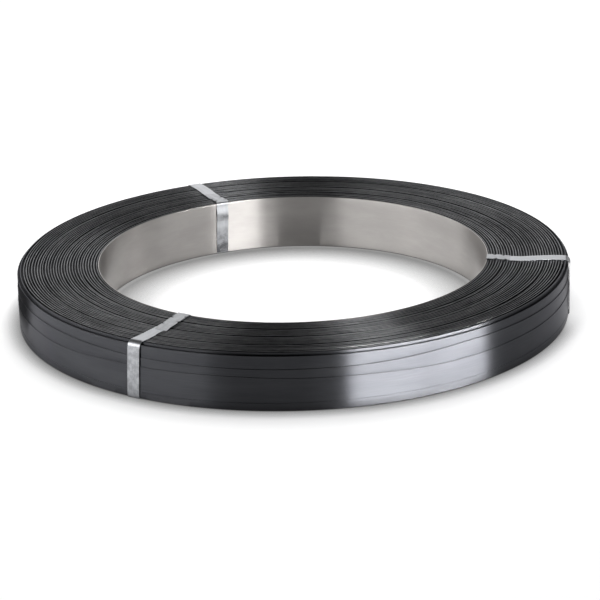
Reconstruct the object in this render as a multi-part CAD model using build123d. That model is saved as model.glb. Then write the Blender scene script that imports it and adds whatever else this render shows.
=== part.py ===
"""Oscillated-wound coil of steel strapping, lying flat on its three ties.

The strap is wound back and forth into a wide ring. Its turns show as rings of strap edges on both
ends. On the outer wall the last turn lies low, and the turns under it stand higher, a step each.
Three flat ties go round the section of the coil. The two ends of each tie are lapped and notched
together on the upper end, beside the bore.

Frame: the axis of the coil is Z, and Z = 0 is the floor under the ties. Sizes in millimetres.
"""
from build123d import *
from math import ceil, sin, sqrt
import os

# Wound strap
bore_diameter = 406.4
winding_depth = 85.8
coil_width = 58.0
strap_width = 31.75
strap_thickness = 0.8
traverse_step = 11.75

# Turns on the ends
end_rings = 10
end_ring_depth = 1.8
end_edge_scatter = 0.7
scatter_phase = 2.4
bore_edge_chamfer = 0.8

# Turns at the outer rim
rim_turns = 2
rim_drop = 1.2
lip_drop = 3.8
rim_lift = 0.8

# Ties
tie_width = 15.0
tie_thickness = 0.5
tie_seat_gap = 0.1
tie_bend_bore = 0.9
tie_bend_rim = 3.5
tie_bend_foot = 0.8
notch_radius = 2.4
notch_depth = 1.6
notch_spacing = 10.0

# Each tie: its direction about the axis, the length of its lap and how far its outer leg bows out
ties = {
    "front": {"angle": -122.0, "lap_length": 49.0, "bow": 0.6},
    "right": {"angle": -8.0, "lap_length": 23.0, "bow": 2.0},
    "back": {"angle": 113.2, "lap_length": 34.0, "bow": 1.0},
}

# Heights, turns and radii that follow
coil_bottom = tie_thickness
coil_top = coil_bottom + coil_width
tie_top = coil_top + tie_seat_gap
lip_height = coil_top - lip_drop
last_turn_top = coil_bottom + strap_width
turns_above = ceil((lip_height - last_turn_top) / traverse_step)
bore_radius = bore_diameter / 2
outer_radius = bore_radius + winding_depth
rim_radius = outer_radius - (turns_above + rim_turns) * strap_thickness


def end_outline(height, outward, last_drop):
    """Points of one end from bore to rim: the chamfered first turn, then a drop and a slope for each ring.

    Each slope rises to the edge of a turn. outward is +1 on the upper end and -1 on the lower one, and
    the edge of the last ring lies last_drop deeper than the end.
    """
    first = bore_radius + strap_thickness
    ring_pitch = (rim_radius - first) / end_rings
    points = [(bore_radius, height - outward * bore_edge_chamfer), (first, height)]
    for ring in range(end_rings):
        foot = first + ring * ring_pitch
        scatter = end_edge_scatter * (1 + sin(scatter_phase * ring)) / 2
        edge_drop = last_drop if ring == end_rings - 1 else scatter
        points.append((foot, height - outward * end_ring_depth))
        points.append((foot + ring_pitch, height - outward * edge_drop))
    return points


def outer_wall_outline():
    """Points of the outer wall, upwards: the last turn, a step in to each turn above it, then the lip."""
    radius = outer_radius
    points = [(radius, coil_bottom + rim_lift)]
    for turn in range(turns_above):
        upper_edge = last_turn_top + turn * traverse_step
        points.append((radius, upper_edge))
        radius -= strap_thickness
        points.append((radius, upper_edge))
    return points + [(radius, lip_height), (rim_radius, lip_height)]


def strap_coil():
    """The whole winding as one turned solid with its bore."""
    upper = end_outline(coil_top, 1, rim_drop)
    lower = end_outline(coil_bottom, -1, 0)
    with BuildPart() as winding:
        with BuildSketch(Plane.XZ):
            with BuildLine():
                Polyline(*lower, *outer_wall_outline(), *reversed(upper), close=True)
            make_face()
        revolve(axis=Axis.Z)
    return winding.part


def tie_section(growth, bow):
    """Section of the tie's hollow, grown outwards by growth, as a face in the XZ plane."""
    inside = sqrt(bore_radius**2 - (tie_width / 2) ** 2) - tie_seat_gap - growth
    outside = outer_radius + tie_seat_gap + growth
    floor = coil_bottom - growth
    roof = tie_top + growth
    bore_bend = tie_bend_bore + growth
    rim_bend = tie_bend_rim + growth
    foot_bend = tie_bend_foot + growth
    leg_top = (outside, roof - rim_bend)
    leg_foot = (outside, floor + foot_bend)
    leg_middle = (outside + bow, (leg_top[1] + leg_foot[1]) / 2)
    with BuildSketch(Plane.XZ) as section:
        with BuildLine():
            Line((inside, floor + bore_bend), (inside, roof - bore_bend))
            RadiusArc((inside, roof - bore_bend), (inside + bore_bend, roof), bore_bend)
            Line((inside + bore_bend, roof), (outside - rim_bend, roof))
            RadiusArc((outside - rim_bend, roof), leg_top, rim_bend)
            ThreePointArc(leg_top, leg_middle, leg_foot)
            RadiusArc(leg_foot, (outside - foot_bend, floor), foot_bend)
            Line((outside - foot_bend, floor), (inside + bore_bend, floor))
            RadiusArc((inside + bore_bend, floor), (inside, floor + bore_bend), bore_bend)
        make_face()
    return section.sketch


def notch_cutters(lap_middle):
    """Upright cylinders that notch both sides of the lap and of the band under it."""
    reach = tie_width / 2 - notch_depth + notch_radius
    height = 6 * tie_thickness
    return [
        Pos(lap_middle + along * notch_spacing / 2, side * reach, tie_top + tie_thickness)
        * Cylinder(notch_radius, height)
        for along in (-1, 1)
        for side in (-1, 1)
    ]


def tie_band(lap_length, bow):
    """One flat tie, bent round the coil's section, with its ends lapped and notched together."""
    wall = tie_section(tie_thickness, bow) - tie_section(0, bow)
    band = extrude(wall, tie_width / 2, both=True)
    lap_middle = bore_radius + tie_bend_bore + lap_length / 2
    lap = Box(lap_length, tie_width, tie_thickness)
    band = band + Pos(lap_middle, 0, tie_top + 1.5 * tie_thickness) * lap
    for cutter in notch_cutters(lap_middle):
        band = band - cutter
    return band


os.makedirs("parts", exist_ok=True)
export_step(strap_coil(), "parts/strap_coil.step")
for name, tie in ties.items():
    band = tie_band(tie["lap_length"], tie["bow"])
    export_step(Rot(0, 0, tie["angle"]) * band, f"parts/tie_band_{name}.step")
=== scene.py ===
"""Looks of the strapping coil: its wound turns, its bare bore and its three galvanised ties.

Lengths on the coil are written in millimetres times mm, so that the meshes come out in metres. Round
pieces are grids whose rows are a profile and whose columns go round the axis. A tie is a strip carried
along a path, and both are worked out in millimetres. The studio round the coil is set out in metres.
"""
import math

import bpy
import numpy as np
from mathutils import Matrix, Vector


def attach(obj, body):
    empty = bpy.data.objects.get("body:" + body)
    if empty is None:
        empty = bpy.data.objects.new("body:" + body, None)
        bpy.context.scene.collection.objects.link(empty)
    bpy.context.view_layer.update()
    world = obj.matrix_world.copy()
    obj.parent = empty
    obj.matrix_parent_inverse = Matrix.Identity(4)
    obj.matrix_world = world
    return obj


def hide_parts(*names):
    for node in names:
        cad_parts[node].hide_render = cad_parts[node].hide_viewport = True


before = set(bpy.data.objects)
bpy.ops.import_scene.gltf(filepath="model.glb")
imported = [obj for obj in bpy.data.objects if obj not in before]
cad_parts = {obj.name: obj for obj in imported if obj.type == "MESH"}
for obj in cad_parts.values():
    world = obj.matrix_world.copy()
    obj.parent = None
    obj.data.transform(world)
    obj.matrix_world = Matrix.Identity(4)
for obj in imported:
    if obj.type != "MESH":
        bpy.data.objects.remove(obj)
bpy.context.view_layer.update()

mm = 0.001

# The coil
bore_radius = 203.2 * mm
outer_radius = 289.0 * mm
coil_bottom = 0.5 * mm
coil_top = 58.5 * mm
strap_thickness = 0.8 * mm

# Rings of strap edges on its ends, and the turn beyond them that stands up to the end
ring_count = 28
first_ring = bore_radius + 2.3 * mm
last_ring = 281.3 * mm
ring_depth = 4.0 * mm
low_rings = (6, 13, 21)
rings_end = 284.2 * mm
rim_turn_radius = 285.2 * mm

# Lines round the outer wall: directions in degrees, heights and waves in millimetres
wall_lines = {
    "scratch": {
        "directions": [-180, -110, -70, -20, 60, 140],
        "heights": [8.5, 7.5, 9.0, 8.0, 7.0, 9.0],
        "wave": 0.2, "seed": 31},
    "last_turn_edge": {
        "directions": [-161, -145, -138, -129, -100, -78, -70, -59, -30, 40, 120],
        "heights": [29.6, 28.9, 30.2, 33.3, 34.5, 33.2, 31.3, 30.2, 30.0, 32.0, 30.5],
        "wave": 0.2, "seed": 33},
    "next_turn_edge": {
        "directions": [-180, -150, -129, -100, -78, -70, -61, -54, -50, -20, 40, 120],
        "heights": [43.5, 44.5, 43.6, 42.3, 42.5, 43.6, 45.9, 47.0, 46.4, 44.0, 43.0, 44.0],
        "wave": 0.2, "seed": 34},
    "lip": {
        "directions": [-180, -143, -108, -85, -63, -39, 0, 90],
        "heights": [55.2, 55.3, 56.0, 55.4, 55.1, 54.9, 55.0, 54.8],
        "wave": 0.15, "seed": 35},
    "rim_top": {
        "directions": [-180, -90, 0, 90],
        "heights": [58.2, 58.1, 58.3, 58.2],
        "wave": 0.06, "seed": 36},
}

# How far the upper bands of the wall lie in, and the share of it that is reached in each direction
next_turn_tuck = 0.4 * mm
lip_tuck = 1.15 * mm
tuck_directions = [-125, -95, -75, -45, -25, 60]
tuck_shares = [0.55, 0.5, 1.0, 1.0, 0.7, 0.9]

# Columns of the grids, round the axis
round_columns = 720
hidden_end_columns = 400


# Meshes

def round_steps(count):
    """Angles that go once round the axis, without the closing one."""
    return np.arange(count) * (2 * math.pi / count)


def ring_waves(rows, angles, orders, height, seed):
    """Smooth random waves that close on themselves, a row each, whose spread is the height.

    A wave is a sum of cosines of the angle times the whole numbers up to orders. Each cosine has a
    random phase, and a random size that is divided by the root of its order.
    """
    random = np.random.default_rng(seed)
    order = np.arange(1, orders + 1)[None, :, None]
    phase = random.uniform(0, 2 * math.pi, (rows, orders, 1))
    size = random.normal(0, 1, (rows, orders, 1)) / np.sqrt(order)
    waves = (size * np.cos(order * angles[None, None, :] + phase)).sum(axis=1)
    return height * waves / waves.std()


def grid_quads(rows, columns, closed):
    """Quads that join the neighbours in a grid of points whose columns close on themselves.

    Where the grid is closed, its last row is joined to its first one too.
    """
    row, column = np.meshgrid(np.arange(rows if closed else rows - 1), np.arange(columns), indexing="ij")
    next_row, next_column = (row + 1) % rows, (column + 1) % columns
    corners = [row * columns + column, row * columns + next_column,
               next_row * columns + next_column, next_row * columns + column]
    return np.stack(corners, axis=-1).reshape(-1, 4)


def signed_volume(points, faces):
    """Volume inside a closed mesh of quads, negative where its faces point inwards.

    Each quad a b c d adds a sixth of a . (b x c) + a . (c x d).
    """
    a, b, c, d = (points[faces[:, corner]] for corner in range(4))
    first_half = np.einsum("ij,ij->i", a, np.cross(b, c))
    second_half = np.einsum("ij,ij->i", a, np.cross(c, d))
    return (first_half + second_half).sum() / 6


def add_piece(name, points, faces, node, material, attributes, sharp):
    """Makes a closed mesh whose faces point outwards, smooth but for edges sharper than some degrees.

    Each attribute is one number for every point, which the material reads.
    """
    if signed_volume(points, faces) < 0:
        faces = faces[:, ::-1]
    mesh = bpy.data.meshes.new(name)
    mesh.from_pydata(points, [], faces)
    for key, values in attributes.items():
        numbers = values.astype(np.float32).ravel()
        mesh.attributes.new(key, "FLOAT", "POINT").data.foreach_set("value", numbers)
    mesh.shade_smooth()
    mesh.set_sharp_from_angle(angle=math.radians(sharp))
    mesh.materials.append(material)
    piece = bpy.data.objects.new(name, mesh)
    bpy.context.collection.objects.link(piece)
    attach(piece, "root")
    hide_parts(node)


def turned_piece(name, radius, height, material, attributes, sharp):
    """Turns a closed profile round Z. Its radius and height are grids of profile rows by angles.

    Each point is (radius cos angle, radius sin angle, height).
    """
    angles = round_steps(radius.shape[1])
    points = np.stack([radius * np.cos(angles), radius * np.sin(angles), height], axis=-1).reshape(-1, 3)
    faces = grid_quads(*radius.shape, closed=True)
    add_piece(name, points, faces, "strap_coil", material, attributes, sharp)


def rows_of(values, columns):
    """One row round the axis for each single value."""
    return np.repeat(np.asarray(values, dtype=float)[:, None], columns, axis=1)


def profile_grids(rows, columns):
    """One grid of profile rows by columns for each of the values that a row holds.

    A value is a number that holds all the way round, or an array with a number for each column.
    """
    return (np.stack([row[place] + np.zeros(columns) for row in rows]) for place in range(len(rows[0])))


# Materials

class Wire:
    """One socket of a material's nodes, so that sums on it are written as ordinary arithmetic."""

    def __init__(self, tree, socket=None):
        self.tree = tree
        self.socket = socket

    def node(self, kind, settings=None, values=None, output=0):
        """Adds a node, sets it up, fills or links its sockets and gives the output that is asked for."""
        made = self.tree.nodes.new(kind)
        for key, value in (settings or {}).items():
            setattr(made, key, value)
        for key, value in (values or {}).items():
            if isinstance(value, Wire):
                self.tree.links.new(value.socket, made.inputs[key])
            else:
                made.inputs[key].default_value = value
        return Wire(self.tree, made.outputs[output])

    def maths(self, operation, first, second):
        """The result of an operation on two values."""
        return self.node("ShaderNodeMath", {"operation": operation}, {0: first, 1: second})

    def __add__(self, other):
        return self.maths("ADD", self, other)

    def __radd__(self, other):
        return self.maths("ADD", other, self)

    def __sub__(self, other):
        return self.maths("SUBTRACT", self, other)

    def __rsub__(self, other):
        return self.maths("SUBTRACT", other, self)

    def __mul__(self, other):
        return self.maths("MULTIPLY", self, other)

    def __rmul__(self, other):
        return self.maths("MULTIPLY", other, self)

    def __truediv__(self, other):
        return self.maths("DIVIDE", self, other)

    def __pow__(self, other):
        return self.maths("POWER", self, other)

    def larger(self, other):
        """The larger one of this value and another."""
        return self.maths("MAXIMUM", self, other)

    def step(self, low, high, start=0.0, end=1.0):
        """Goes smoothly from start to end while this value goes from low to high."""
        values = {"Value": self, "From Min": low, "From Max": high, "To Min": start, "To Max": end}
        return self.node("ShaderNodeMapRange", {"interpolation_type": "SMOOTHSTEP"}, values)

    def blend(self, first, second):
        """The first colour where this mask is 0 and the second where it is 1."""
        first_colour, second_colour, mixed_colour = 6, 7, 2
        colours = {socket: colour if isinstance(colour, Wire) else (*colour, 1)
                   for socket, colour in ((first_colour, first), (second_colour, second))}
        return self.node("ShaderNodeMix", {"data_type": "RGBA"}, {0: self, **colours}, mixed_colour)

    def noise(self, scale, detail, roughness):
        """Noise from 0 to 1 in the coordinates that this vector gives."""
        values = {"Vector": self, "Scale": scale, "Detail": detail, "Roughness": roughness}
        return self.node("ShaderNodeTexNoise", None, values)

    def place(self):
        """The place on the object, in metres."""
        return self.node("ShaderNodeTexCoord", None, None, "Object")

    def part(self, axis):
        """The part of this vector along X, Y or Z, which are 0, 1 and 2."""
        return self.node("ShaderNodeSeparateXYZ", None, {0: self}, axis)

    def attribute(self, name):
        """The number that the mesh holds under a name."""
        return self.node("ShaderNodeAttribute", {"attribute_name": name}, None, "Fac")


def new_material(name):
    """An empty material, and a wire to add nodes with."""
    material = bpy.data.materials.new(name)
    material.use_nodes = True
    tree = material.node_tree
    tree.nodes.clear()
    return material, Wire(tree)


def finish_material(wire, shader):
    """Links a shader to the material's surface."""
    output = wire.tree.nodes.new("ShaderNodeOutputMaterial")
    wire.tree.links.new(shader.socket, output.inputs["Surface"])


def ray_masks(wire):
    """A mask for the rays that are reflected, and one for those and all that come from the camera."""
    camera, glossy, through = (wire.node("ShaderNodeLightPath", None, None, name)
                               for name in ("Is Camera Ray", "Is Glossy Ray", "Is Transmission Ray"))
    return glossy, camera.larger(glossy.larger(through))


def round_coordinates(wire, around, across, along):
    """Coordinates for streaks that run round the axis.

    The direction from the axis, times around, is seamless and slow along a turn. The distance from the
    axis, times across, and the height, times along, are quick, so a pattern is drawn out along a turn.
    """
    place = wire.place()
    x, y, height = (place.part(axis) for axis in range(3))
    radius = (x * x + y * y) ** 0.5
    parts = {0: x / radius * around, 1: y / radius * around, 2: radius * across + height * along}
    return wire.node("ShaderNodeCombineXYZ", None, parts)


def metal(wire, **values):
    """The metal shader with the values and links of its sockets."""
    sockets = {key.replace("_", " "): value for key, value in values.items()}
    return wire.node("ShaderNodeBsdfPrincipled", None, sockets)


def bumped(wire, height, strength, distance):
    """A normal that is tilted by the slope of a height."""
    return wire.node("ShaderNodeBump", None, {"Strength": strength, "Distance": distance, "Height": height})


# Nearly black, for painted shade in grooves, gaps and recesses.
painted_shade_black = (0.006, 0.006, 0.007)
lengthwise = {"Anisotropic": 1.0, "Anisotropic_Rotation": 0.25}


def blued_wall():
    """Flat faces of the wound strap: dark blued steel under wax, drawn lengthwise.

    Broad clouds blend two blues, and fine streaks lighten them. The slit edges are a little lighter as
    a painted highlight, and the grooves, slots and channel at the laps are painted nearly black and
    rougher as shade.
    """
    blue, light_blue = (0.034, 0.0347, 0.0382), (0.042, 0.0428, 0.0464)
    drawn_blue, slit_edge_highlight = (0.055, 0.057, 0.063), (0.07, 0.071, 0.074)
    material, wire = new_material("blued_strap_face")
    streaks = round_coordinates(wire, around=9.0, across=0.0, along=2600.0).noise(1.0, 3.0, 0.6)
    clouds = round_coordinates(wire, around=3.0, across=0.0, along=70.0).noise(1.0, 4.0, 0.6)
    groove, edge = wire.attribute("groove"), wire.attribute("edge")
    colour = clouds.step(0.3, 0.7).blend(blue, light_blue)
    colour = (streaks.step(0.42, 0.7) * 0.4).blend(colour, drawn_blue)
    # Painted highlight on the slit edges.
    colour = (edge * 0.3).blend(colour, slit_edge_highlight)
    # Painted shade, nearly black, in grooves and recesses.
    colour = groove.blend(colour, painted_shade_black)
    roughness = 0.28 + streaks * 0.04 + clouds * 0.03 + groove * 0.3
    shader = metal(wire, Base_Color=colour, Metallic=1.0, Roughness=roughness, **lengthwise,
                   Specular_Tint=(0.72, 0.72, 0.74, 1), Normal=bumped(wire, streaks, 0.06, 0.04 * mm))
    finish_material(wire, shader)
    return material


def strap_edges():
    """The turns seen from the end: light grey slit edges on top, painted dark as shade below.

    Broad clouds blend two greys, and the fine burr adds light and dark spots. A share of a ring's
    depth below its top, the grey has gone over into the painted shade.
    """
    grey, light_grey = (0.155, 0.158, 0.163), (0.232, 0.235, 0.24)
    burr_top, burr_foot = (0.38, 0.38, 0.385), (0.07, 0.071, 0.073)
    material, wire = new_material("strap_edges")
    burr = round_coordinates(wire, around=14.0, across=900.0, along=300.0).noise(1.0, 3.0, 0.6)
    clouds = round_coordinates(wire, around=2.2, across=40.0, along=0.0).noise(1.0, 3.0, 0.5)
    colour = clouds.step(0.3, 0.7).blend(grey, light_grey)
    colour = (burr.step(0.5, 0.72) * 0.6).blend(colour, burr_top)
    colour = (burr.step(0.5, 0.3) * 0.6).blend(colour, burr_foot)
    # Painted shade, nearly black, on the ring sides and in the gaps.
    colour = wire.attribute("sunk").step(0.0, 0.14).blend(colour, painted_shade_black)
    shader = metal(wire, Base_Color=colour, Metallic=1.0, Roughness=0.38 + burr * 0.12,
                   Anisotropic=0.95, Anisotropic_Rotation=0.25, Specular_Tint=(0.7, 0.7, 0.71, 1),
                   Normal=bumped(wire, burr, 0.12, 0.08 * mm))
    finish_material(wire, shader)
    return material


def bare_turn():
    """The innermost turn: bare steel with a satin roll finish that runs round the bore.

    Broad clouds blend two warm greys and fine streaks lighten them. The hidden back is painted nearly
    black as shade.
    """
    satin, light_satin = (0.335, 0.321, 0.311), (0.39, 0.374, 0.362)
    rolled_streak, hidden_back_shade = (0.46, 0.442, 0.43), (0.012, 0.012, 0.014)
    material, wire = new_material("bare_strap_face")
    streaks = round_coordinates(wire, around=7.0, across=0.0, along=2200.0).noise(1.0, 3.0, 0.6)
    clouds = round_coordinates(wire, around=2.5, across=0.0, along=40.0).noise(1.0, 4.0, 0.6)
    colour = clouds.step(0.3, 0.7).blend(satin, light_satin)
    colour = (streaks.step(0.5, 0.8) * 0.3).blend(colour, rolled_streak)
    # The hidden back is painted nearly black as shade.
    colour = wire.attribute("sunk").blend(colour, hidden_back_shade)
    shader = metal(wire, Base_Color=colour, Metallic=1.0, Roughness=0.30 + streaks * 0.08, **lengthwise,
                   Normal=bumped(wire, streaks, 0.12, 0.05 * mm))
    finish_material(wire, shader)
    return material


def galvanised():
    """Zinc on the ties: light grey, streaked along the tie and scuffed.

    It darkens with painted shade along the fold of each outer leg, on the outer legs and in light and
    dark reflection bands on the leg in the bore, and the lap is darkened too. Up to a strong darkening
    it also gets smoother, and past that it is painted black as shade, rough and no longer metal.
    """
    zinc, light_zinc, painted_shade_zinc = (0.41, 0.42, 0.44), (0.51, 0.52, 0.54), (0.13, 0.132, 0.14)
    material, wire = new_material("galvanised_tie")
    darkening = wire.attribute("darkening")
    strip = wire.node("ShaderNodeCombineXYZ", None,
                      {0: wire.attribute("across") * 2.2, 1: wire.attribute("run_length") * 26.0, 2: 0.0})
    streaks = strip.noise(1.0, 3.0, 0.6)
    scuffs = wire.place().noise(160.0, 4.0, 0.65)
    colour = (streaks * 0.65 + scuffs * 0.35).step(0.3, 0.7).blend(zinc, light_zinc)
    # Painted shade darkens the zinc along the folds, on the outer legs and in bands on the bore leg; the
    # lap is darkened too.
    colour = (darkening * scuffs.step(0.35, 0.65, 0.6, 1.3)).blend(colour, painted_shade_zinc)
    # Where the darkening is strongest, the zinc is painted black as shade.
    painted_black = darkening.step(0.94, 0.99)
    roughness = 0.30 + scuffs * 0.1 - darkening.step(0.5, 0.9) * 0.16 + painted_black * 0.6
    shader = metal(wire, Base_Color=colour, Metallic=1.0 - painted_black, Roughness=roughness,
                   Normal=bumped(wire, streaks, 0.3, 0.3 * mm))
    finish_material(wire, shader)
    return material


def studio_floor():
    """Plain pale floor, white to the camera and in the metal, that keeps the shadow of the coil.

    The shadow follows how much of the sky the coil hides nearby. It is narrow outside the coil and
    wider inside the bore, where the metal sees no shadow. Beside the right end of the coil it is left
    to the lamps alone.
    """
    narrow_reach, wide_reach = 0.020, 0.07
    narrow_power, wide_power = 1.5, 2.2
    bore_edge, right_end, right_end_front = (0.196, 0.204), (0.262, 0.285), (-0.11, -0.04)
    shaded, lit = (0.08, 0.08, 0.08), (0.74, 0.74, 0.74)
    glow_strength = 0.6
    material, wire = new_material("studio_floor")
    reflected, seen = ray_masks(wire)
    place = wire.place()
    x, y = place.part(0), place.part(1)
    in_bore = ((x * x + y * y) ** 0.5).step(*bore_edge, 1.0, 0.0)
    beside_right_end = x.step(*right_end) * y.step(*right_end_front)
    narrow, wide = (wire.node("ShaderNodeAmbientOcclusion", {"samples": 8}, {"Distance": reach}, "AO")
                    for reach in (narrow_reach, wide_reach))
    narrow, wide = narrow ** narrow_power, wide ** wide_power
    light = narrow + in_bore * (wide - narrow)
    light = light + beside_right_end.larger(in_bore * reflected) * (1.0 - light)
    colour = light.blend(shaded, lit)
    paint = wire.node("ShaderNodeBsdfDiffuse", None, {"Color": colour})
    glow = wire.node("ShaderNodeEmission", None, {"Color": colour, "Strength": seen * glow_strength})
    finish_material(wire, wire.node("ShaderNodeAddShader", None, {0: paint, 1: glow}))
    return material


# Turns of the coil

def end_face(name, face_height, outward, columns, seed, material):
    """One end of the winding: rings of strap edges with deep gaps between them.

    Each ring is a flat top a little wider than the strap is thick, with upright sides down to the ring
    depth. Its middle radius is an even step plus waves that neighbouring rings share and a small wave
    of its own, and both waves fade out at the first and the last ring. Its width has a wave too. Its
    top lies the size of a wave below the face, lower on the low rings and more evenly on the first
    one. The shell closes deeper inside.
    """
    neighbours = 9
    shared_wave, own_wave = 0.3, 0.1
    half_width, half_width_wave, narrowest, widest = 0.44, 0.06, 0.32, 0.6
    height_wave, low_ring_drop, deepest_drop = 0.2, 0.5, 1.8
    shell_depth = 12 * mm
    angles = round_steps(columns)
    index = np.arange(ring_count)[:, None]

    weights = np.hanning(neighbours)
    weights = weights / weights.sum()
    shared = ring_waves(ring_count + neighbours - 1, angles, orders=7, height=1.0, seed=seed)
    shared = np.apply_along_axis(lambda column: np.convolve(column, weights, "valid"), 0, shared)
    own = ring_waves(ring_count, angles, orders=16, height=own_wave, seed=seed + 1)
    pitch = (last_ring - first_ring) / (ring_count - 1)
    fade = np.minimum(index, ring_count - 1 - index).clip(0, 2) / 2
    middle = first_ring + index * pitch + (shared_wave * shared + own) * fade * mm
    wider = ring_waves(ring_count, angles, orders=9, height=1.0, seed=seed + 2)
    half = (half_width + half_width_wave * wider).clip(narrowest, widest) * mm

    lower = np.abs(ring_waves(ring_count, angles, orders=5, height=1.0, seed=seed + 3))
    drop = (height_wave * lower + np.isin(index, low_rings) * low_ring_drop).clip(0, deepest_drop) * mm
    drop[0] = drop[0] * 0.3 + 0.3 * mm
    top = face_height - outward * drop
    foot = face_height - outward * ring_depth + 0 * middle
    deep = face_height - outward * shell_depth

    radius = np.stack([middle - half, middle - half, middle + half, middle + half], axis=1)
    level = np.stack([foot, top, top, foot], axis=1)
    # sunk marks the ring sides, their feet and the shell, which the material paints nearly black as shade.
    sunk = np.stack([1 + 0 * top, 0 * top, 0 * top, 1 + 0 * top], axis=1)
    radius, level, sunk = (grid.reshape(4 * ring_count, columns) for grid in (radius, level, sunk))
    radius = np.concatenate([rows_of([bore_radius + 0.9 * mm] * 2, columns), radius,
                             rows_of([rings_end] * 2, columns)])
    deep_row = rows_of([deep], columns)
    level = np.concatenate([deep_row, foot[:1], level, foot[:1], deep_row])
    sunk = np.concatenate([rows_of([1, 1], columns), sunk, rows_of([1, 1], columns)])
    turned_piece(name, radius, level, material, {"sunk": sunk}, sharp=30)


def directions_of(angles):
    """The same angles in degrees, from -180 to 180."""
    return np.degrees((angles + math.pi) % (2 * math.pi) - math.pi)


def wall_line(angles, directions, heights, wave, seed):
    """Height of a line round the wall, at each angle.

    It goes straight from one direction's height to the next, is smoothed by weights that fall off as
    a bell curve over the columns nearby, and gets small waves.
    """
    reach, spread = 12, 5.0
    curve = np.interp(directions_of(angles), directions, heights, period=360)
    weights = np.exp(-0.5 * (np.arange(-reach, reach + 1) / spread) ** 2)
    wide_curve = np.concatenate([curve[-reach:], curve, curve[:reach]])
    curve = np.convolve(wide_curve, weights / weights.sum(), "valid")
    return (curve + ring_waves(1, angles, orders=14, height=wave, seed=seed)[0]) * mm


def band_surface(angles, tuck, seed):
    """Radius of a band of the wall, which lies the tuck further in than the outermost band could.

    Small waves are added, cut off at twice their spread.
    """
    inset, wave = 0.15 * mm, 0.06 * mm
    waves = ring_waves(1, angles, orders=30, height=wave, seed=seed)[0]
    return outer_radius - tuck - inset + np.clip(waves, -2 * wave, 2 * wave)


def band_rows(foot_radius, foot_height, radius, edge):
    """Profile rows of a band's face, from above its foot to its upper edge.

    The face leans evenly from the foot to the band's radius, and the edge is rounded off a little.
    """
    lean, rise = radius - foot_radius, edge - foot_height
    face = [(foot_radius + lean * share, foot_height + rise * share, 0, 0) for share in (0.15, 0.4, 0.7)]
    upper_edge = [
        (radius, edge - 0.5 * mm, 0, 0),
        (radius, edge - 0.1 * mm, 0, 1),
        (radius - 0.1 * mm, edge, 0, 1),
    ]
    return face + upper_edge


def outer_wall(material):
    """The outer turns: the last one lies low, and two turns under it stand higher, a step each.

    A profile row is a radius, a height, how much painted shade it gets in grooves and recesses, and how
    much painted highlight it gets as a slit edge. Upwards, the last turn has a scratch line, and each
    band leans out a little from its foot to its upper edge. Above the edge lie the cut edge of the
    strap, a narrow slot behind it and the foot of the next band, darkened with painted shade. The third
    edge is the lip. Behind it lies a channel darkened with painted shade, and then the face of the turn
    that stands up to the end of the coil.
    """
    slot_depth, foot_inset, foot_rise, foot_lean = 1.6 * mm, 0.42 * mm, 0.45 * mm, 0.15 * mm
    channel_depth = 1.7 * mm
    slot_width_at_lip = 0.08 * mm
    angles = round_steps(round_columns)
    lines = {name: wall_line(angles, **line) for name, line in wall_lines.items()}
    scratch, lip, rim_top = lines["scratch"], lines["lip"], lines["rim_top"]
    share = np.interp(directions_of(angles), tuck_directions, tuck_shares, period=360)
    tucks = [0.0, next_turn_tuck * share, lip_tuck * share]

    band = band_surface(angles, tucks[0], 51)
    # Third value: painted shade in grooves and recesses. Fourth: painted highlight on slit edges.
    rows = [
        (rings_end, coil_bottom + 0.1 * mm, 1, 0),
        (outer_radius - 0.6 * mm, coil_bottom + 0.3 * mm, 0.6, 0),
        (band - 0.25 * mm, coil_bottom + 0.8 * mm, 0, 0.3),
        (band - 0.12 * mm, scratch - 0.1 * mm, 0, 0),
        (band - 0.02 * mm, scratch, 0, 0.5),
        (band - 0.16 * mm, scratch + 0.1 * mm, 0.25, 0),
        (band - 0.14 * mm, scratch + 0.9 * mm, 0, 0),
    ]
    foot_radius, foot_height = band - 0.14 * mm, scratch + 0.9 * mm
    steps = ((lines["last_turn_edge"], 0.02 * mm, 0.2), (lines["next_turn_edge"], 0.06 * mm, 0.15))
    for number, (edge, slot_width, foot_shade) in enumerate(steps):
        rows += band_rows(foot_radius, foot_height, band, edge)
        slot_front = band - (tucks[number + 1] - tucks[number]) + slot_width
        slot_back = outer_radius - tucks[number + 1] - foot_inset
        rows += [
            (slot_front, edge, 0, 1),
            (slot_front - 0.02 * mm, edge - slot_depth, 1, 0),
            (slot_back, edge - slot_depth, 1, 0),
            (slot_back, edge + 0.1 * mm, foot_shade, 0),
            (slot_back + 0.02 * mm, edge + foot_rise, 0, 0),
        ]
        band = band_surface(angles, tucks[number + 1], 52 + number)
        foot_radius, foot_height = band - foot_lean, edge + foot_rise
    rows += band_rows(foot_radius, foot_height, band, lip)
    rows += [
        (band - strap_thickness + slot_width_at_lip, lip, 0, 1),
        (band - strap_thickness, lip - 0.3 * mm, 1, 0),
        (band - strap_thickness - 0.02 * mm, lip - channel_depth, 0.45, 0),
        (rim_turn_radius + 0.02 * mm, lip - channel_depth, 0.45, 0),
        (rim_turn_radius, coil_top - 3.1 * mm, 0.6, 0),
        (rim_turn_radius, coil_top - 2.6 * mm, 0, 0),
        (rim_turn_radius, rim_top - 0.1 * mm, 0, 0.5),
        (rim_turn_radius - 0.1 * mm, rim_top, 0, 1),
        (rings_end + 0.1 * mm, rim_top, 0, 1),
        (rings_end, coil_top - 6 * mm, 1, 0),
        (rings_end, coil_bottom + 6 * mm, 1, 0),
    ]
    radius, height, groove, edge = profile_grids(rows, round_columns)
    turned_piece("outer_turns", radius, height, material, {"groove": groove, "edge": edge}, sharp=25)


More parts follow.
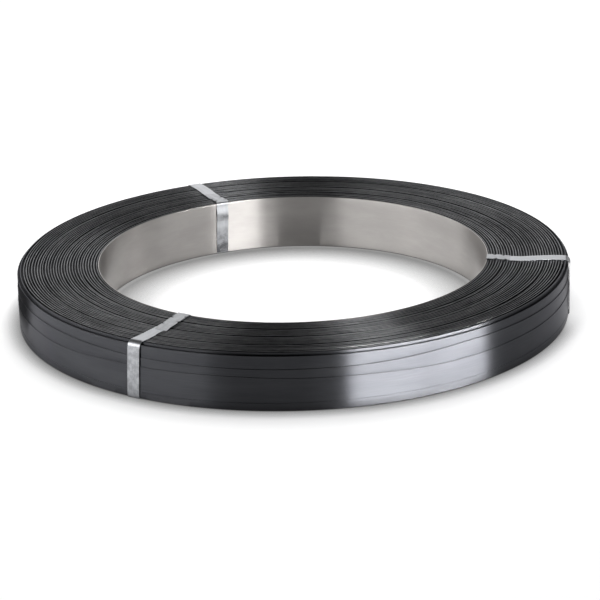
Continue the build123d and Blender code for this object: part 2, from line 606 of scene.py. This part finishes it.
def bore_wall(material):
    """The innermost turn: a straight wall, rounded at both edges, with a little ripple round the bore.

    A profile row is a radius, a height and whether it is hidden. The ripple is added to every radius.
    """
    angles = round_steps(round_columns)
    inner, outer = bore_radius, bore_radius + strap_thickness
    rows = [
        (inner + 0.25 * mm, coil_top, 0),
        (inner, coil_top - 0.3 * mm, 0),
        (inner, coil_top - 1.2 * mm, 0),
        (inner, coil_top - 20 * mm, 0),
        (inner, coil_top - 40 * mm, 0),
        (inner, coil_bottom + 1.2 * mm, 0),
        (inner, coil_bottom + 0.3 * mm, 0),
        (inner + 0.25 * mm, coil_bottom, 0),
        (outer, coil_bottom, 0),
        (outer + 0.1 * mm, coil_bottom + 8 * mm, 1),
        (outer + 0.1 * mm, coil_top - 8 * mm, 1),
        (outer, coil_top - 0.6 * mm, 1),
        (outer, coil_top, 0),
    ]
    waves = ring_waves(1, angles, orders=10, height=0.05 * mm, seed=71)[0]
    ripple = np.clip(waves, 0, 0.12 * mm)
    radius, height, hidden = profile_grids(rows, round_columns)
    turned_piece("bore_turn", radius + ripple, height, material, {"sunk": hidden}, sharp=25)


# Ties, in millimetres: the runs of a tie's path, and the strip that is carried along it
on_top, on_leg, under_coil, on_bore, on_lap = range(5)
hidden_end = 206.0
strip_half_width = 6.8
strip_half_thickness = 0.2
points_across = 13

# Waves of a tie's leg in the bore, and its painted shade and light and dark reflection bands, by height
wave_heights = [0, 8, 18, 30, 38, 43, 45, 47, 55, 58]
wave_sizes = [0, 0.3, 0.15, 0.7, 0.2, 0.9, 1.2, 1.1, 0.1, 0]
shade_heights = [0, 9, 20, 25, 32, 38, 43, 50, 58]
painted_bore_shades = [0.9, 0.85, 0.55, 0.4, 0.2, 0.3, 0.65, 0.1, 0.1]


def arc_points(centre, radius, start, end, count):
    """Points of an arc in the plane of a tie, from one angle to another in degrees."""
    turn = np.radians(np.linspace(start, end, count))
    return np.stack([centre[0] + radius * np.cos(turn), centre[1] + radius * np.sin(turn)], axis=-1)


def line_points(start, end, count):
    """Points along a straight run, without its first one."""
    share = np.linspace(0, 1, count + 1)[1:, None]
    return np.asarray(start) + (np.asarray(end) - np.asarray(start)) * share


def tie_path(cut_end, bow):
    """Middle line of a tie in its own plane, as distances from the axis and heights, and each point's run.

    It starts at the hidden end under the lap, runs outwards over the top, down the outer leg, in under
    the coil, up the bore and over its edge, and ends on top of itself at the cut end. Arcs join its
    straight runs. The outer leg bows out by the bow times the root of half a sine wave, or in where
    the bow is negative.
    """
    low, top, lap, bore, rim = 0.2, 58.8, 59.25, 202.75, 289.3
    rim_bend, foot_bend, inner_foot_bend, bore_bend = 5.5, 1.0, 1.1, 1.6
    share = np.linspace(0, 1, 60)[1:-1, None]
    top_of_leg, foot_of_leg = np.array([rim, top - rim_bend]), np.array([rim, low + foot_bend])
    leg = top_of_leg + (foot_of_leg - top_of_leg) * share
    leg[:, 0] += bow * np.sin(math.pi * share[:, 0]) ** 0.5
    inner_foot = (bore + inner_foot_bend, low + inner_foot_bend)
    parts = [
        (on_top, np.array([[hidden_end, top]])),
        (on_top, line_points((hidden_end, top), (rim - rim_bend, top), 160)),
        (on_top, arc_points((rim - rim_bend, top - rim_bend), rim_bend, 90, 0, 14)[1:]),
        (on_leg, leg),
        (on_leg, arc_points((rim - foot_bend, low + foot_bend), foot_bend, 0, -90, 6)),
        (under_coil, line_points((rim - foot_bend, low), (bore + inner_foot_bend, low), 50)),
        (under_coil, arc_points(inner_foot, inner_foot_bend, -90, -180, 6)[1:]),
        (on_bore, line_points((bore, low + inner_foot_bend), (bore, lap - bore_bend), 60)),
        (on_lap, arc_points((bore + bore_bend, lap - bore_bend), bore_bend, 180, 90, 8)[1:]),
        (on_lap, line_points((bore + bore_bend, lap), (cut_end, lap), 100)),
    ]
    run = np.concatenate([np.full(len(points), number) for number, points in parts])
    return np.concatenate([points for _, points in parts]), run


def strip_sway(path, run, sway):
    """How far the strip is shifted across, at each point of its path.

    The shift follows curves: by the distance from the axis on top and on the lap, and by the height on
    the two legs. Under the coil it goes evenly from one leg's foot to the other's.
    """
    top, leg, bore, lap = (np.interp(path[:, axis], *sway[key])
                           for key, axis in (("top", 0), ("leg", 1), ("bore", 1), ("lap", 0)))
    shift = np.choose(run, [top, leg, 0 * top, bore, lap])
    outer_foot, inner_foot = leg[run == on_leg][-1], bore[run == on_bore][0]
    evenly = np.linspace(0, 1, (run == under_coil).sum())
    shift[run == under_coil] = outer_foot + (inner_foot - outer_foot) * evenly
    return shift


def strip_notches(path, run, share, notches):
    """How far the edges of the strip are cut in, as a grid of path points by points across.

    A notch is a place, a side, a half length, a depth and whether the lap has it as well. It cuts the
    edge by half an ellipse, and the cut falls with the cube of the share from the middle to the edge.
    """
    cuts = np.zeros((len(path), len(share)))
    for place, side, half_length, depth, lap_too in notches:
        cut = depth * np.sqrt(np.clip(1 - ((path[:, 0] - place) / half_length) ** 2, 0, 1))
        cut = cut * ((run == on_top) | ((run == on_lap) & lap_too))
        cuts += np.where(np.sign(share)[None, :] == side, cut[:, None] * np.abs(share)[None, :] ** 3, 0)
    return cuts


def strip_lift(path, run, distance, share, cut_end, bore_wave, leg_painted_shade, seed):
    """How far the strip stands off its path, as a grid of path points by points across.

    Six sine waves along the strip, each a little oblique, are added up and cut off below for shallow
    dents, and a ridge runs beside the middle. Both fade out at the two ends. The lap is flatter, the
    leg in the bore has waves by its height, and an outer leg lies closer by its share of painted shade.
    What is hidden under the coil or the lap is flat, and so is the foot of each leg.
    """
    wave_count, wave_length, dent_depth, ridge_height, end_reach = 6, 14.0, 0.22, 0.12, 4
    phases = np.random.default_rng(seed).uniform(0, 2 * math.pi, wave_count)
    place = distance[:, None] / wave_length
    waves = sum(np.sin(place * (0.7 + 0.6 * i) + phases[i] + share[None, :] * (i - 2.5) * 0.5)
                for i in range(wave_count)) / wave_count
    dents = dent_depth * np.clip(waves + 0.35, 0, 1)
    ridge = ridge_height * (1 - np.abs(share - 0.3) * 1.2).clip(0, 1)[None, :]
    near_end = np.exp(-((distance - distance[-1]) / end_reach) ** 2) + np.exp(-(distance / end_reach) ** 2)
    lift = (dents + ridge) * (1 - np.clip(near_end[:, None], 0, 1))
    lift = np.where((run == on_lap)[:, None], np.minimum(lift * 0.6, 0.14), lift)
    height = path[:, 1:2]
    bore_lift = lift * 0.5 + bore_wave * np.interp(height, wave_heights, wave_sizes)
    lift = np.where((run == on_bore)[:, None], bore_lift, lift)
    lift = np.where((run == on_leg)[:, None], lift * (1 - leg_painted_shade), lift)
    hidden = (run == under_coil) | ((run == on_top) & (path[:, 0] < cut_end + 2))
    return np.where(hidden[:, None], 0.0, lift) * np.clip(height / 5 - 0.3, 0, 1)


def strip_darkening(path, run, distance, share, leg_painted_shade):
    """How far the zinc is darkened, from 0 to 1, as a grid of path points by points across.

    Painted shade of the fold runs down the outer leg beside its middle, as a bell curve across that
    fades out towards the ends of the leg. Apart from it, the outer leg with its bend has one value of
    painted shade and the lap one value of darkening, and the leg in the bore has painted shade and
    reflection bands, one value for each height.
    """
    top_of_bend = 58.6
    crease_depth, crease_place, crease_width, crease_reach = 0.9, -0.25, 0.12, 26
    lap_darkening = 0.35
    middle_of_leg = distance[run == on_leg].mean()
    darkening = crease_depth * np.exp(-((share - crease_place) / crease_width) ** 2)[None, :]
    darkening = darkening * np.exp(-((distance[:, None] - middle_of_leg) / crease_reach) ** 4)
    outer = (run <= on_leg) & (path[:, 1] < top_of_bend)
    bore_painted_shade = np.interp(path[:, 1], shade_heights, painted_bore_shades)
    # Painted shade on the outer leg, painted reflection bands on the bore leg, and a darker lap.
    plain = outer * leg_painted_shade + (run == on_lap) * lap_darkening + (run == on_bore) * bore_painted_shade
    return np.maximum(darkening, plain[:, None])


def tie_strip(name, node, angle, cut_end, bow, sway, notches, bore_wave, leg_painted_shade, seed, material):
    """A flat strip carried along the path of a tie, swayed, notched and dented.

    Each point is the path's point, plus the outward normal times half the thickness and the lift, plus
    the direction across times half the width, less the notches and with the sway. The normal is the
    path's direction turned by a right angle. The plane of the path is turned about Z to the angle of
    the tie. The outer side and the inner one are joined round both edges, and quads close the ends.
    """
    path, run = tie_path(cut_end, bow)
    along = np.gradient(path, axis=0)
    along /= np.linalg.norm(along, axis=1)[:, None]
    outward = np.stack([-along[:, 1], along[:, 0]], axis=-1)
    distance = np.concatenate([[0], np.cumsum(np.linalg.norm(np.diff(path, axis=0), axis=1))])
    share = np.linspace(-1, 1, points_across)
    cuts = strip_notches(path, run, share, notches)
    shift = strip_sway(path, run, sway)
    across = share[None, :] * strip_half_width - cuts * np.sign(share)[None, :] + shift[:, None]
    lift = strip_lift(path, run, distance, share, cut_end, bore_wave, leg_painted_shade, seed)

    turn = math.radians(angle)
    radial = np.array([math.cos(turn), math.sin(turn), 0])
    sideways = np.array([-math.sin(turn), math.cos(turn), 0])
    upright = np.array([0, 0, 1])

    def surface(level):
        flat = path[:, None, :] + outward[:, None, :] * (level + lift)[:, :, None]
        return (flat[..., 0:1] * radial + across[..., None] * sideways + flat[..., 1:2] * upright) * mm

    outside, inside = surface(strip_half_thickness), surface(-strip_half_thickness)
    loop = np.concatenate([outside, inside[:, ::-1]], axis=1)
    count, around = loop.shape[:2]
    column = np.arange(points_across - 1)
    cap = np.stack([column, around - 1 - column, around - 2 - column, column + 1], axis=-1)
    last_loop = (count - 1) * around
    faces = np.concatenate([grid_quads(count, around, closed=False), cap[:, ::-1], cap + last_loop])
    one_side = {
        "darkening": strip_darkening(path, run, distance, share, leg_painted_shade),
        "across": share[None, :] + 0 * distance[:, None],
        "run_length": distance[:, None] * mm + 0 * share[None, :],
    }
    attributes = {key: np.concatenate([grid, grid[:, ::-1]], axis=1) for key, grid in one_side.items()}
    add_piece(name, loop.reshape(-1, 3), faces, node, material, attributes, sharp=35)


# Studio, in metres and degrees
lamp_aim = Vector((0, 0, 0.03))
camera_aim = Vector((6.3 * mm, 0, 8.0 * mm))
camera_distance = 2549 * mm
camera_tilt = 19.79
camera_roll = -1.54
focal_length = 144.7
sensor_width = 36.0
floor_radius = 6.0


def direction(azimuth, elevation):
    """Unit vector from the coil towards an azimuth from +X and an elevation, in degrees."""
    turn, lift = math.radians(azimuth), math.radians(elevation)
    return np.array([math.cos(turn) * math.cos(lift), math.sin(turn) * math.cos(lift), math.sin(lift)])


def add_lamp(name, size, azimuth, elevation, distance, power, only_metal=True):
    """A rectangular lamp that faces the coil from a direction.

    It is seen in the metal only, or else it lights all the rest and isn't seen in the metal.
    """
    lamp = bpy.data.lights.new(name, "AREA")
    lamp.shape = "RECTANGLE"
    lamp.size, lamp.size_y = size
    lamp.energy = power
    away = Vector(direction(azimuth, elevation))
    holder = bpy.data.objects.new(name, lamp)
    holder.location = away * distance + lamp_aim
    holder.rotation_euler = away.to_track_quat("Z", "Y").to_euler()
    holder.visible_camera = False
    holder.visible_diffuse = not only_metal
    holder.visible_glossy = only_metal
    bpy.context.collection.objects.link(holder)


def set_camera():
    """A long lens that looks down on the coil from the front, turned a little about its own axis."""
    tilt, roll = math.radians(camera_tilt), math.radians(camera_roll)
    back = Vector((0, -math.cos(tilt), math.sin(tilt)))
    level, upright = Vector((1, 0, 0)), Vector((0, math.sin(tilt), math.cos(tilt)))
    right = level * math.cos(roll) + upright * math.sin(roll)
    up = upright * math.cos(roll) - level * math.sin(roll)
    lens = bpy.data.cameras.new("camera")
    lens.sensor_width = sensor_width
    lens.lens = focal_length
    lens.clip_end = 100.0
    camera = bpy.data.objects.new("camera", lens)
    placed = Matrix((right, up, back)).transposed().to_4x4()
    placed.translation = camera_aim + back * camera_distance
    camera.matrix_world = placed
    bpy.context.collection.objects.link(camera)
    bpy.context.scene.camera = camera


def set_world():
    """White to the camera and in reflections, and a softer light from all round on everything else."""
    soft_light, white = 0.38, 1.0
    world = bpy.data.worlds.new("studio")
    world.use_nodes = True
    world.node_tree.nodes.clear()
    wire = Wire(world.node_tree)
    _, seen = ray_masks(wire)
    light = wire.node("ShaderNodeBackground", None,
                      {"Color": (1, 1, 1, 1), "Strength": seen.step(0, 1, soft_light, white)})
    output = world.node_tree.nodes.new("ShaderNodeOutputWorld")
    world.node_tree.links.new(light.socket, output.inputs["Surface"])
    bpy.context.scene.world = world


def add_floor():
    """A wide disc under the ties."""
    bpy.ops.mesh.primitive_circle_add(vertices=96, radius=floor_radius, fill_type="NGON")
    floor = bpy.context.object
    floor.name = "floor"
    floor.data.materials.append(studio_floor())


def facing(azimuth, elevation, distance, width, height):
    """Corners of a rectangle that faces the coil from a direction."""
    turn = math.radians(azimuth)
    away = direction(azimuth, elevation)
    side = np.array([-math.sin(turn), math.cos(turn), 0])
    up = np.cross(away, side)
    return [away * distance + side * across * width / 2 + up * over * height / 2
            for across, over in ((-1, -1), (1, -1), (1, 1), (-1, 1))]


def add_card(name, corners, level):
    """A flat card of an even brightness, as studios use, which is seen only in the metal."""
    material, wire = new_material(name)
    finish_material(wire, wire.node("ShaderNodeEmission", None, {"Color": (level, level, level, 1)}))
    mesh = bpy.data.meshes.new(name)
    mesh.from_pydata(corners, [], [(0, 1, 2, 3)])
    mesh.materials.append(material)
    card = bpy.data.objects.new(name, mesh)
    bpy.context.collection.objects.link(card)
    card.visible_camera = False
    card.visible_diffuse = False
    card.visible_shadow = False


# Making: the studio first
set_camera()
set_world()
add_floor()
add_lamp("overhead", (1.4, 1.4), azimuth=90, elevation=68, distance=2.2, power=34, only_metal=False)
add_lamp("right_card", (1.33, 0.06), azimuth=-43.8, elevation=0.26, distance=1.3, power=97)
add_lamp("right_card_end", (0.5, 0.06), azimuth=-27.8, elevation=0.26, distance=1.3, power=4.5)
add_lamp("left_card", (2.9, 0.08), azimuth=-166, elevation=0.7, distance=1.5, power=13.5)
add_lamp("bore_lamp", (1.05, 0.5), azimuth=-55.5, elevation=15, distance=2.2, power=33)
add_lamp("tall_left_card", (4.3, 0.5), azimuth=-170, elevation=17.5, distance=2.0, power=31)
add_card("card_behind_camera", facing(-99.2, 24, distance=3.4, width=2.08, height=3.0), 0.0)
add_card("card_at_right", facing(17, 24, distance=2.6, width=1.7, height=2.4), 0.5)
add_card("card_at_back", facing(90, 18, distance=3.0, width=1.7, height=1.2), 1.42)
add_card("card_at_back_left", facing(108.5, 16, distance=3.0, width=0.3, height=1.9), 0.6)
add_card("card_at_back_right", facing(68, 16, distance=3.0, width=0.5, height=1.9), 0.2)
add_card("ceiling", facing(90, 88, distance=2.4, width=6.0, height=6.0), 0.12)
add_card("card_on_floor_left",
         [(-0.302, -0.062, 0.002), (-1.6, 1.2, 0.002), (-0.9, 1.6, 0.002), (-0.302, 0.3, 0.002)], 0.02)
add_card("card_on_floor_right",
         [(0.292, -0.035, 0.002), (0.292, 0.3, 0.002), (0.45, 1.6, 0.002), (0.95, 1.29, 0.002)], 0.06)
add_card("card_on_bore_floor",
         [(-0.016, 0.2, 0.001), (-0.001, 0.09, 0.001), (0.001, 0.09, 0.001), (0.030, 0.2, 0.001)], 0.42)

bpy.context.scene.view_settings.view_transform = "Standard"

# The turns of the coil
edges_material = strap_edges()
end_face("turns_upper_end", coil_top, 1, round_columns, 11, edges_material)
end_face("turns_lower_end", coil_bottom, -1, hidden_end_columns, 12, edges_material)
outer_wall(blued_wall())
bore_wall(bare_turn())

# The ties. A notch is a place, a side, a half length, a depth and whether the lap has it as well. A
# sway is places along a run and the shifts across there.
tie_material = galvanised()
front_notches = [
    (236.0, -1, 1.5, 3.2, True),
    (217.0, -1, 1.5, 3.2, True),
    (226.0, 1, 1.5, 2.6, True),
    (212.0, 1, 1.5, 2.6, True),
    (257.0, 1, 8.0, 1.0, False),
]
side_notches = [
    (213.0, -1, 1.5, 2.6, True),
    (223.0, -1, 1.5, 2.6, True),
    (211.0, 1, 1.5, 2.6, True),
    (220.0, 1, 1.5, 2.6, True),
]
front_sway = {
    "top": ([203, 242, 260, 276, 289], [0.5, 3.1, 2.3, 1.6, -0.2]),
    "leg": ([3, 13, 34, 52, 56], [-3.6, -2.9, -1.7, -0.7, -0.3]),
    "bore": ([2, 56], [-1.0, 0.4]),
    "lap": ([203, 214, 230, 242, 252], [0.5, 0.8, 2.5, 3.5, 5.7]),
}
right_sway = {
    "top": ([202, 215, 228, 239, 250, 270, 287], [5.0, 4.0, 1.0, 0.3, 3.0, 6.4, 6.0]),
    "leg": ([2, 28, 56], [4.0, 5.0, 5.8]),
    "bore": ([2, 56], [3.0, 4.8]),
    "lap": ([202, 215, 228], [5.0, 4.0, 1.0]),
}
back_sway = {
    "top": ([203, 211, 225, 260, 284], [-4.1, -4.1, -1.75, -2.5, -0.9]),
    "leg": ([2, 56], [-0.5, -0.8]),
    "bore": ([4, 16, 28, 39, 49], [-0.2, -0.7, -1.1, -1.6, -1.9]),
    "lap": ([203, 211, 225, 240], [-2.4, -4.1, -1.75, -2.0]),
}
# The leg value darkens each outer leg with painted shade, fully black on the right tie.
tie_strip("front_tie", "tie_band_front", angle=-122.0, cut_end=252.5, bow=0.6,
          sway=front_sway, notches=front_notches, bore_wave=0.2, leg_painted_shade=0.55, seed=1,
          material=tie_material)
tie_strip("right_tie", "tie_band_right", angle=-8.0, cut_end=227.5, bow=-0.2,
          sway=right_sway, notches=side_notches, bore_wave=0.2, leg_painted_shade=1.0, seed=2,
          material=tie_material)
tie_strip("back_tie", "tie_band_back", angle=113.2, cut_end=238.0, bow=0.8,
          sway=back_sway, notches=side_notches, bore_wave=1.0, leg_painted_shade=0.3, seed=3,
          material=tie_material)
